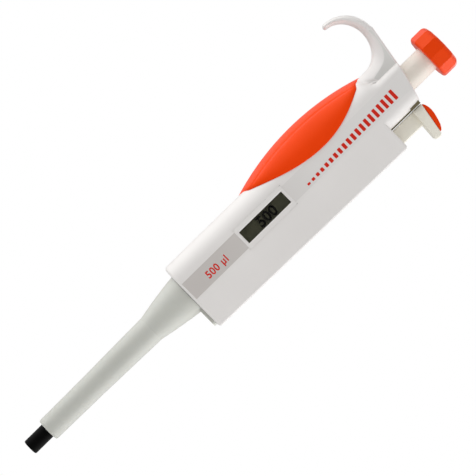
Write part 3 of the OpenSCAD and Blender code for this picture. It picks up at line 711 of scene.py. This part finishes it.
def hook_section(t):
    """Section of the hook: rounded inside, a flat face on each side, a small round outside."""
    inner, outer = hook_edges(t)
    wide = (outer - inner).length
    across = (outer - inner).normalized()
    lip = 1.1 + (0.42 * wide - 1.1) * ease((t - 0.45) / 0.25)
    flat_end = wide - lip

    def form(s):
        at = inner + across * s
        return hook_round(at.x, at.z, s, t, wide), facet_depth(at.x, at.z, t)

    low, high = 0.0, flat_end
    for _ in range(30):  # finds the crease, where the round meets the flat face
        middle = (low + high) / 2
        r, f = form(middle)
        low, high = (middle, high) if r < f else (low, middle)
    crease = low
    half = [(0.0, 0.0)]
    for i in range(17):
        s = crease * (i / 16) ** 1.7
        half.append((s, max(form(s)[0], 0.02)))
    for i in range(1, 9):
        s = crease + (flat_end - crease) * i / 8
        half.append((s, min(form(s))))
    edge = min(form(flat_end))
    soft = min(edge, lip if t < HOOK_CREST else edge)
    for a in quarter(8, 1):
        half.append((flat_end + lip * math.sin(a), edge - soft * (1 - math.cos(a))))
    half.append((wide, 0.0))
    ring = [inner + across * s + Vector((0, -y, 0)) for s, y in half]
    ring += [inner + across * s + Vector((0, y, 0)) for s, y in reversed(half[1:-1])]
    return ring


def finger_hook():
    """The hook's sweep, its round tip, and room for what sits in the neck."""
    spans = 96
    rings = [hook_section(HOOK_ROOT + (1 - HOOK_ROOT) * i / spans) for i in range(spans + 1)]
    tip = rings[-1]
    middle = sum(tip, Vector()) / len(tip)
    forward = (middle - sum(rings[-2], Vector()) / len(tip)).normalized()
    for a in quarter(8, 1):
        ahead = forward * 1.3 * math.sin(a)
        rings.append([middle + (p - middle) * max(0.04, math.cos(a)) + ahead for p in tip])
    hook = skin("finger_hook_horn", rings)
    combine(hook, [rod("bush_room", 200, 226, 7.9, 96), rod("sleeve_room", 200, 240, 6.4, 96),
                   rod("frame_room", 200, 213.2, 9.1, 96)], "DIFFERENCE")
    tidy_normals(hook)
    smooth(hook, 24)
    place(hook, "handle", "shell_white", ["finger_hook"])
    # Faces square to the hook's flat face take its painted shade
    hook.data.materials.append(HOOK_PAINTED_SHADE)
    for side in (-1, 1):
        facing = Vector((-FACET_SLOPE[0], side, -FACET_SLOPE[1])).normalized()
        for face in hook.data.polygons:
            if face.normal.dot(facing) > math.cos(math.radians(3)) and face.center.z > FACET_FOOT * MM:
                face.material_index = 1


# ---- Palm grip ----

GRIP_TIPS = (139.6, 212.6)  # lowest and highest point
GRIP_PEAK = 181.0  # height at which it comes furthest forward
GRIP_REACH = 10.1  # how far it comes forward from the back edge
GRIP_RISE = 5.7  # how far it stands proud of the back edge
GRIP_LIP = 0.45  # how far it stands proud of the shell's side
GRIP_SUNK = 0.9  # how deep its inner face lies in the shell
GRIP_LINE = (2.8, 0.3)  # place and depth of the fine line along its back


def grip_front_x(z):
    """Front boundary of the pad as seen from the front."""
    if z < GRIP_PEAK:
        share = (1 - ((z - GRIP_PEAK) / (GRIP_TIPS[0] - GRIP_PEAK)) ** 2) ** 1.4
    else:
        share = (1 - ((z - GRIP_PEAK) / (GRIP_TIPS[1] - GRIP_PEAK)) ** 2) ** 1.15
    return -BACK_X + GRIP_REACH * share


def grip_rise(z):
    """How far the pad stands proud of the back edge at a height: an arc of a circle."""
    middle = sum(GRIP_TIPS) / 2
    half = (GRIP_TIPS[1] - GRIP_TIPS[0]) / 2
    bow = (half ** 2 + GRIP_RISE ** 2) / (2 * GRIP_RISE)
    return GRIP_RISE - bow + math.sqrt(bow ** 2 - (z - middle) ** 2)


def handle_half_depth(x):
    """Half depth of the handle's rounded back at x."""
    r = BACK_X - STRIP
    if x > -STRIP:
        return HALF_DEPTH
    return HALF_DEPTH - r + math.sqrt(max(0.0, r ** 2 - (x + STRIP) ** 2))


def grip_ring(z):
    """Outer arc with a rounded lip and a fine line, then the face against the shell."""
    x0 = grip_front_x(z)
    reach = BACK_X + grip_rise(z) + x0
    taper = min(1.0, min(z - GRIP_TIPS[0], GRIP_TIPS[1] - z) / 5)
    half = handle_half_depth(x0) * max(0.02, taper) ** 0.5
    lip = GRIP_LIP * min(1.0, reach / 3)
    line_turn = math.acos(max(-0.2, 1 - GRIP_LINE[0] / max(reach, 0.3)))
    front = []
    for turn in quarter(40):
        x = x0 - reach * math.cos(turn)
        y = (half + lip) * math.sin(turn)
        near = max(0.0, 1 - abs(turn - line_turn) / 0.06)
        push = GRIP_LINE[1] * near * min(1.0, reach / 6)
        front.append((x + push * math.cos(turn), -(y - push * math.sin(turn))))
    for a in quarter(4, 1):
        front.append((x0 + lip * 0.6 * math.sin(a), -(half + lip - lip * 0.9 * (1 - math.cos(a)))))
    inner = []
    for i in range(13):
        turn = math.pi / 2 * (1 - i / 12)
        inner.append((x0 + lip * 0.5 - (BACK_X - GRIP_SUNK + x0) * math.cos(turn),
                      -(half - GRIP_SUNK) * math.sin(turn)))
    back = [(x, -y) for x, y in reversed(front[1:])]
    back_inner = [(x, -y) for x, y in reversed(inner[:-1])]
    return [(x, y, z) for x, y in front + inner + back_inner + back]


def palm_grip():
    """A soft pad whose sections lie closer together towards its pointed ends."""
    count = 96
    blunt = 0.35  # left off each pointed end
    rings = []
    for i in range(count + 1):
        u = 0.5 - 0.5 * math.cos(math.pi * (i / count))
        z = GRIP_TIPS[0] + blunt + (GRIP_TIPS[1] - GRIP_TIPS[0] - 2 * blunt) * u
        rings.append(grip_ring(z))
    pad = skin("palm_grip_pad", rings)
    smooth(pad, 40)
    place(pad, "handle", "grip_orange", ["palm_grip"])


# ---- Display ----

CAPITAL_SHARE = 0.7  # height of a capital as a share of the font's size
RING_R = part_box("tens_ring")[1][0] / MM
DIGIT_TALL = 4.5
DIGIT_WEIGHT = 0.17
DIGIT_RAISED = (-0.05, 0.09)  # foot of a digit from the ring's surface, and its thickness


def display_outline(size, outset, corner):
    """Outline centred on the display, a little larger than the size given."""
    w, h = size
    return rounded_box_outline(-w / 2 - outset, w / 2 + outset, DISPLAY - h / 2 - outset,
                               DISPLAY + h / 2 + outset, corner)


def window_bezel():
    """Shallow frame with soft outer edges and a small step round the glass."""
    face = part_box("window_bezel")[0][1] / MM
    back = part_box("window_bezel")[1][1] / MM
    frame_piece = slab("bezel_frame", display_outline(BEZEL, -0.03, 0.5), face, back)
    step = 0.42  # of the sloping edge, and of the seat for the glass behind it
    opening = [[(x, y, z) for x, z in display_outline(WINDOW, outset, 0.25)]
               for outset, y in ((step, face - 0.05), (step, face), (0, face + step), (0, back + 1))]
    pocket = slab("glass_pocket", display_outline(WINDOW, step, 0.3), face + 0.88, back + 1)
    combine(frame_piece, [skin("opening", opening), pocket], "DIFFERENCE")
    bevel(frame_piece, 0.14, 2, 60)
    smooth(frame_piece, 35)
    place(frame_piece, "handle", "shell_white", ["window_bezel"])


def display_window():
    """The lens, a plate with soft edges."""
    low, high = (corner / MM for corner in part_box("display_window"))
    outline = rounded_box_outline(low[0], high[0], low[2], high[2], 0.25)
    glass = slab("display_glass", outline, low[1], high[1])
    bevel(glass, 0.1, 2)
    smooth(glass)
    place(glass, "handle", "window_smoke", ["display_window"])


def display_mask():
    """Olive print behind the lens that leaves only the digits open."""
    low, high = (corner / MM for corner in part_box("display_window"))
    digits = (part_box("hundreds_ring")[0][2] / MM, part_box("units_ring")[1][2] / MM)
    prints = [box("mask", (low[0], high[1] + 0.01, z0), (high[0], high[1] + 0.05, z1))
              for z0, z1 in ((low[2], digits[0]), (digits[1], high[2]))]
    mask = join("display_mask_print", prints)
    place(mask, "handle", "ring_plastic")


def lettering(name, words, height, weight, spacing=1.0):
    """Words in millimetres, 1 thick along Z, with the letters' height along +Y."""
    curve = bpy.data.curves.new(name, "FONT")
    curve.body = words
    curve.size = height / CAPITAL_SHARE
    curve.offset = weight
    curve.space_character = spacing
    curve.resolution_u = 6
    thing = bpy.data.objects.new(name, curve)
    bpy.context.collection.objects.link(thing)
    graph = bpy.context.evaluated_depsgraph_get()
    mesh = bpy.data.meshes.new_from_object(thing.evaluated_get(graph))
    bpy.data.objects.remove(thing)
    form = bmesh.new()
    form.from_mesh(mesh)
    bmesh.ops.remove_doubles(form, verts=form.verts, dist=0.001)
    bmesh.ops.triangulate(form, faces=form.faces)
    solid = bmesh.ops.extrude_face_region(form, geom=form.faces[:])
    raised = [v for v in solid["geom"] if isinstance(v, bmesh.types.BMVert)]
    for vert in raised:
        vert.co.z += 1.0
    form.to_mesh(mesh)
    form.free()
    return bpy.data.objects.new(name, mesh)


def lettering_ends(thing):
    """Where the words start and end along X."""
    xs = [v.co.x for v in thing.data.vertices]
    return min(xs), max(xs)


def ring_digits(name, node, body, digits):
    """Raised digits round a number ring; they read upward and fall in value towards +X."""
    low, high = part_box(node)
    middle = (low[2] + high[2]) / 2 / MM
    parts = []
    for k, digit in enumerate(digits):
        glyph = lettering(name + "_digit", digit, DIGIT_TALL, DIGIT_WEIGHT)
        x0, x1 = lettering_ends(glyph)
        turn = math.radians(-90 + 36 * k)
        for v in glyph.data.vertices:
            along = v.co.x - (x0 + x1) / 2
            up = v.co.y - DIGIT_TALL / 2
            r = RING_R + DIGIT_RAISED[0] + DIGIT_RAISED[1] * v.co.z
            a = turn - up / RING_R
            v.co = Vector((r * math.cos(a), r * math.sin(a), middle + along)) * MM
        parts.append(glyph)
    digit_band = join(name, parts)
    tidy_normals(digit_band)
    place(digit_band, body, "seal_rubber", material=DIGIT_INK)


def join(name, parts):
    """One mesh from several objects, which are used up."""
    form = bmesh.new()
    for part in parts:
        form.from_mesh(part.data)
        bpy.data.meshes.remove(part.data)
    mesh = bpy.data.meshes.new(name)
    form.to_mesh(mesh)
    form.free()
    thing = bpy.data.objects.new(name, mesh)
    bpy.context.collection.objects.link(thing)
    return thing


def number_rings():
    """Digits round each ring, a tenth of a turn apart, set to read 500."""
    ring_digits("hundreds_digits", "hundreds_ring", "hundreds", [str((5 - k) % 10) for k in range(10)])
    ring_digits("tens_digits", "tens_ring", "tens", [str((10 - k) % 10) for k in range(10)])
    ring_digits("units_digits", "units_ring", "spindle", ["0", "5"] * 5)


# ---- Print on the front strip ----

INK_SUNK, INK_THICK = 0.02, 0.04
CAPACITY = (2.2, 106.2, 11.6)  # x of the letters' foot, height of the first letter, length
RAMP_COUNT = 20
RAMP_FOOT = 164.0
RAMP_PITCH = 2.75
RAMP_EDGE = 3.4  # x of the bars' even ends
RAMP_BAR = 1.55  # height of a bar
RAMP_SPAN = (1.0, 4.0)  # length of the lowest bar, and what the highest has more


def capacity_print():
    """The largest volume, reading upward on the strip."""
    words = lettering("capacity_print", "500 µl", 3.3, 0.11, 1.1)
    bpy.context.collection.objects.link(words)
    x0, x1 = lettering_ends(words)
    edge, foot, length = CAPACITY
    stretch = length / (x1 - x0)
    for v in words.data.vertices:
        x, y, z = v.co
        depth = HALF_DEPTH - INK_SUNK + INK_THICK * z
        v.co = Vector((edge - y, -depth, foot + (x - x0) * stretch)) * MM
    tidy_normals(words)
    place(words, "handle", "grip_orange", material=PRINT_INK)


def volume_ramp():
    """A plain printed ramp of bars along the strip, shorter towards the foot."""
    bars = []
    for i in range(RAMP_COUNT):
        z = RAMP_FOOT + i * RAMP_PITCH
        wide = RAMP_SPAN[0] + RAMP_SPAN[1] * (i / (RAMP_COUNT - 1)) ** 0.9
        outline = rounded_box_outline(RAMP_EDGE - wide, RAMP_EDGE, z, z + RAMP_BAR, 0.3, 3)
        bars.append(skin("bar", [[(x, -(handle_face_depth(h) + out), h) for x, h in outline]
                                 for out in (0.03, -0.06)]))
    ramp_print = join("volume_ramp_print", bars)
    tidy_normals(ramp_print)
    place(ramp_print, "handle", "grip_orange", material=PRINT_INK)


# ---- Knob ----

KNOB_FLAT_R = 10.6  # axis to a flat
KNOB_TURN = math.radians(7)
KNOB_FLATS = 12
KNOB_POINTS = KNOB_FLATS * 15  # round a ring
KNOB_ROUNDS = (1.5, 2.6)  # radius of the lower and the upper edge
KNOB_BORE = 5.93
CAP_SEAT = (7.05, 1.4)  # radius and depth
CAP_R = 6.95
CAP_DISH = 0.35  # depth of the hollow in its top, and radius of its edge


def knob_ring(z, inset):
    """The knob's flats at a height."""
    ring = []
    pitch = 2 * math.pi / KNOB_FLATS
    for i in range(KNOB_POINTS):
        turn = 2 * math.pi * (i + 0.5) / KNOB_POINTS
        off = (turn + pitch / 2) % pitch - pitch / 2
        r = (KNOB_FLAT_R - inset) / math.cos(off)
        a = turn + KNOB_TURN + pitch / 2
        ring.append((r * math.cos(a), r * math.sin(a), z))
    return ring


def circle_ring(z, r):
    """A circle at a height, with its points where a ring of flats has them."""
    turns = [2 * math.pi * (i + 0.5) / KNOB_POINTS + KNOB_TURN + math.pi / KNOB_FLATS
             for i in range(KNOB_POINTS)]
    return [(r * math.cos(a), r * math.sin(a), z) for a in turns]


def volume_knob():
    """Flats with rounded edges, a bore in the foot and a seat for the cap in the top."""
    foot, top = (corner[2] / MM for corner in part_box("volume_knob"))
    low_r, high_r = KNOB_ROUNDS
    seat, seat_depth = CAP_SEAT
    rings = [circle_ring(foot + 1.6, KNOB_BORE), circle_ring(foot + 0.15, KNOB_BORE),
             circle_ring(foot, KNOB_BORE + 0.15)]
    for a in quarter(6):
        rings.append(knob_ring(foot + low_r * (1 - math.cos(a)), low_r * (1 - math.sin(a))))
    for a in quarter(10):
        rings.append(knob_ring(top - high_r * (1 - math.sin(a)), high_r * (1 - math.cos(a))))
    rings += [circle_ring(top, seat + 0.15), circle_ring(top - 0.12, seat),
              circle_ring(top - seat_depth, seat)]
    knob = skin("volume_knob_flats", rings)
    smooth(knob, 24)
    place(knob, "knob", "knob_orange", ["volume_knob"])


def knob_cap():
    """Slightly hollowed disc on the knob."""
    low, high = (corner[2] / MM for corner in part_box("knob_cap"))
    edge = (CAP_R - CAP_DISH, high - CAP_DISH)
    profile = [(0.0, low), (CAP_R, low)] + arc(edge, (CAP_DISH, CAP_DISH), 0, 90, 5)
    profile += [(CAP_R * k, high - CAP_DISH * (1 - k ** 2)) for k in (0.85, 0.7, 0.5, 0.3, 0.15)]
    profile += [(0.0, high - CAP_DISH)]
    disc = lathe("knob_cap_disc", profile)
    smooth(disc, 30)
    place(disc, "knob", "knob_orange", ["knob_cap"])


# ---- Ejector button ----

BUTTON_X = 11.9  # its side towards the neck
BUTTON_STEM = (19.2, 3.5)  # x of the outer side, half depth
BAR_FOOT = 218.2
BAR_HEIGHT = 5.1  # at the neck
BAR_END = (26.1, 0.9, 1.8)  # x of the round end's centre, its height over the foot, its radius
ROD_SOCKET = (7.1, 1.53)  # depth and radius


def ejector_button():
    """Flat stem and a thumb bar that thins to a round end, all edges softened."""
    low, high = (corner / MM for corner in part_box("ejector_button"))
    end_x, end_up, end_r = BAR_END
    outline = [(BUTTON_X, BAR_FOOT + BAR_HEIGHT), (BUTTON_X, BAR_FOOT)]
    outline += arc((end_x, BAR_FOOT + end_up), (end_r, end_r), 268, 430, 16)
    thumb = slab("thumb_bar", outline, low[1], high[1])
    bevel(thumb, 0.7, 4, 50)
    stem_x, stem_y = BUTTON_STEM
    stem_outline = rounded_box_outline(BUTTON_X, stem_x, -stem_y, stem_y, 0.7, 5)
    combine(thumb, [slab("stem", stem_outline, low[2], BAR_FOOT + 1.2, "XY")], "UNION")
    depth, r = ROD_SOCKET
    combine(thumb, [rod("rod_socket", low[2] - 1, low[2] + depth, r, 48, (ROD_X, 0))], "DIFFERENCE")
    tidy_normals(thumb)
    smooth(thumb, 32)
    thumb.name = "ejector_thumb_button"
    # The button takes the paler cream, painted light that offsets the shade the handle walls cast on
    # it
    place(thumb, "ejector", "cream_plastic", ["ejector_button"], BUTTON_CREAM_PAINTED_LIGHT)


def ejector_pad():
    """Crowned orange inlay on the thumb bar."""
    low, high = (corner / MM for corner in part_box("ejector_pad"))
    crown = [(12.3, 223.36), (12.9, 223.9), (13.9, 224.35), (15.4, 224.7), (17.0, 224.8),
             (18.8, 224.62), (20.6, 224.2), (22.3, 223.72), (23.9, 223.2), (25.2, 222.5),
             (26.1, 221.75), (26.4, 221.04)]
    pad = slab("ejector_thumb_pad", crown, low[1], high[1])
    bevel(pad, 0.8, 4, 50)
    smooth(pad, 32)
    place(pad, "ejector", "knob_orange", ["ejector_pad"])


# ---- Springs ----


def coil_rings(node, wire, turns, centre):
    """Rings of a round wire helix with closed, ground ends that fills the node's height."""
    low, high = (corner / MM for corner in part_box(node))
    outer = (high[0] - low[0]) / 2 - wire
    z0, z1 = low[2] + wire, high[2] - wire
    closed = 1.2  # turns at each end that lie on one another
    steps, sides = 28, 10
    total = int(steps * (turns + 2 * closed))
    pitch_span = z1 - z0 - 4 * wire
    rings = []
    for i in range(total + 1):
        turn = i / steps
        if turn < closed:
            z = z0 + 2 * wire * turn / closed * 0.9
        elif turn > turns + closed:
            z = z1 - 2 * wire * (turns + 2 * closed - turn) / closed * 0.9
        else:
            z = z0 + 1.8 * wire + (pitch_span + 0.4 * wire) * (turn - closed) / turns
        a = 2 * math.pi * turn
        ring = []
        for k in range(sides):
            b = 2 * math.pi * k / sides
            r = outer + wire * math.cos(b)
            ring.append((centre + r * math.cos(a), r * math.sin(a), z + wire * math.sin(b)))
        rings.append(ring)
    return rings


def coil_spring(name, node, wire, turns, centre):
    """A round wire spring that fills its node's height, fixed to the handle."""
    coil = skin(name, coil_rings(node, wire, turns, centre))
    smooth(coil, 60)
    place(coil, "handle", "spring_steel", [node])
    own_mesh(coil)


def primary_spring():
    """The long spring in two pieces: its first coils stay in place, the rest rides on the blow-out
    stop.
    """
    rings = coil_rings("primary_spring", 0.4, 10, 0.0)
    cut = len(rings) // 3
    foot = skin("primary_spring_foot", rings[:cut + 1])
    coil = skin("primary_spring_coil", rings[cut:])
    for part in (foot, coil):
        smooth(part, 60)
        part.data.materials.append(MATERIALS["spring_steel"])
    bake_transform(foot)
    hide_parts("primary_spring")
    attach(coil, "blowout_stop")
    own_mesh(coil)


def springs():
    """All three springs."""
    primary_spring()
    coil_spring("blowout_spring_coil", "blowout_spring", 0.5, 5, 0.0)
    coil_spring("ejector_spring_coil", "ejector_spring", 0.3, 14, ROD_X)


# ---- Stage, light and camera ----


def make_stage():
    """A small pale floor, low enough to stay out of the main view."""
    bpy.ops.mesh.primitive_circle_add(vertices=96, radius=0.25, fill_type="NGON",
                                      location=(0, 0, -0.06))
    floor = bpy.context.object
    floor.name = "pale_floor"
    material, tree, shader = new_material("floor_pale")
    stains = ramp(tree, noise(tree, 60, 4), [(0.3, (0.86,) * 3), (0.7, (0.88,) * 3)])
    tree.links.new(stains, shader.inputs["Base Color"])
    shader.inputs["Roughness"].default_value = 0.8
    floor.data.materials.append(material)


def make_world():
    """White to the eye; as light it is a tent, brighter from both sides than from front and back."""
    world = bpy.data.worlds.new("studio")
    bpy.context.scene.world = world
    world.use_nodes = True
    tree = world.node_tree
    tree.nodes.clear()
    link = tree.links.new
    seen = add(tree, "ShaderNodeBackground", Color=(1, 1, 1, 1))
    where = add(tree, "ShaderNodeTexCoord")
    parts = add(tree, "ShaderNodeSeparateXYZ")
    link(where.outputs["Generated"], parts.inputs["Vector"])
    backdrop = add(tree, "ShaderNodeMapRange", interpolation_type="SMOOTHSTEP", **BACKDROP)
    link(parts.outputs["Y"], backdrop.inputs["Value"])
    link(backdrop.outputs["Result"], seen.inputs["Strength"])
    sideways = add(tree, "ShaderNodeMath", operation="POWER")
    sideways.inputs[1].default_value = TENT_FOCUS
    size = add(tree, "ShaderNodeMath", operation="ABSOLUTE")
    link(parts.outputs["X"], size.inputs[0])
    link(size.outputs[0], sideways.inputs[0])
    lit = add(tree, "ShaderNodeBackground", Color=(1, 1, 1, 1))
    link(between(tree, sideways.outputs[0], *TENT_LIGHT), lit.inputs["Strength"])
    path = add(tree, "ShaderNodeLightPath")
    mix = add(tree, "ShaderNodeMixShader")
    out = add(tree, "ShaderNodeOutputWorld")
    link(path.outputs["Is Camera Ray"], mix.inputs["Fac"])
    link(lit.outputs["Background"], mix.inputs[1])
    link(seen.outputs["Background"], mix.inputs[2])
    link(mix.outputs["Shader"], out.inputs["Surface"])


def soft_light(name, place, size, power):
    """A square soft box aimed at the middle of the pipette."""
    light = bpy.data.lights.new(name, "AREA")
    light.size = size
    light.energy = power
    thing = bpy.data.objects.new(name, light)
    thing.location = place
    aim = VIEW_CENTRE - thing.location
    thing.rotation_euler = aim.to_track_quat("-Z", "Y").to_euler()
    bpy.context.collection.objects.link(thing)


def make_lights():
    """Weak soft boxes that give the tent's light a direction."""
    soft_light("key_hook_side", (-0.75, -0.55, 0.35), 0.4, 0.7)
    soft_light("fill_ejector_side", (0.8, -0.35, 0.2), 0.4, 0.7)
    soft_light("rear_rim", (0.1, 0.8, 0.6), 0.6, 1.2)


def make_camera():
    """Level with the middle of the pipette and rolled, as in the photograph."""
    right = Vector((math.sin(AXIS_LEAN), 0, math.cos(AXIS_LEAN)))
    up = Vector((-math.cos(AXIS_LEAN), 0, math.sin(AXIS_LEAN)))
    back = right.cross(up)
    data = bpy.data.cameras.new("photo_camera")
    data.sensor_width = SENSOR
    data.lens = SENSOR * CAMERA_DISTANCE / VIEW_WIDTH
    camera = bpy.data.objects.new("photo_camera", data)
    camera.matrix_world = Matrix.Translation(VIEW_CENTRE + back * CAMERA_DISTANCE) @ Matrix(
        (right, up, back)).transposed().to_4x4()
    bpy.context.collection.objects.link(camera)
    bpy.context.scene.camera = camera


make_camera()
make_stage()
make_world()
make_lights()
paint_cad_nodes()
handle_shells()
finger_hook()
palm_grip()
window_bezel()
display_window()
display_mask()
number_rings()
capacity_print()
volume_ramp()
volume_knob()
knob_cap()
ejector_button()
ejector_pad()
springs()
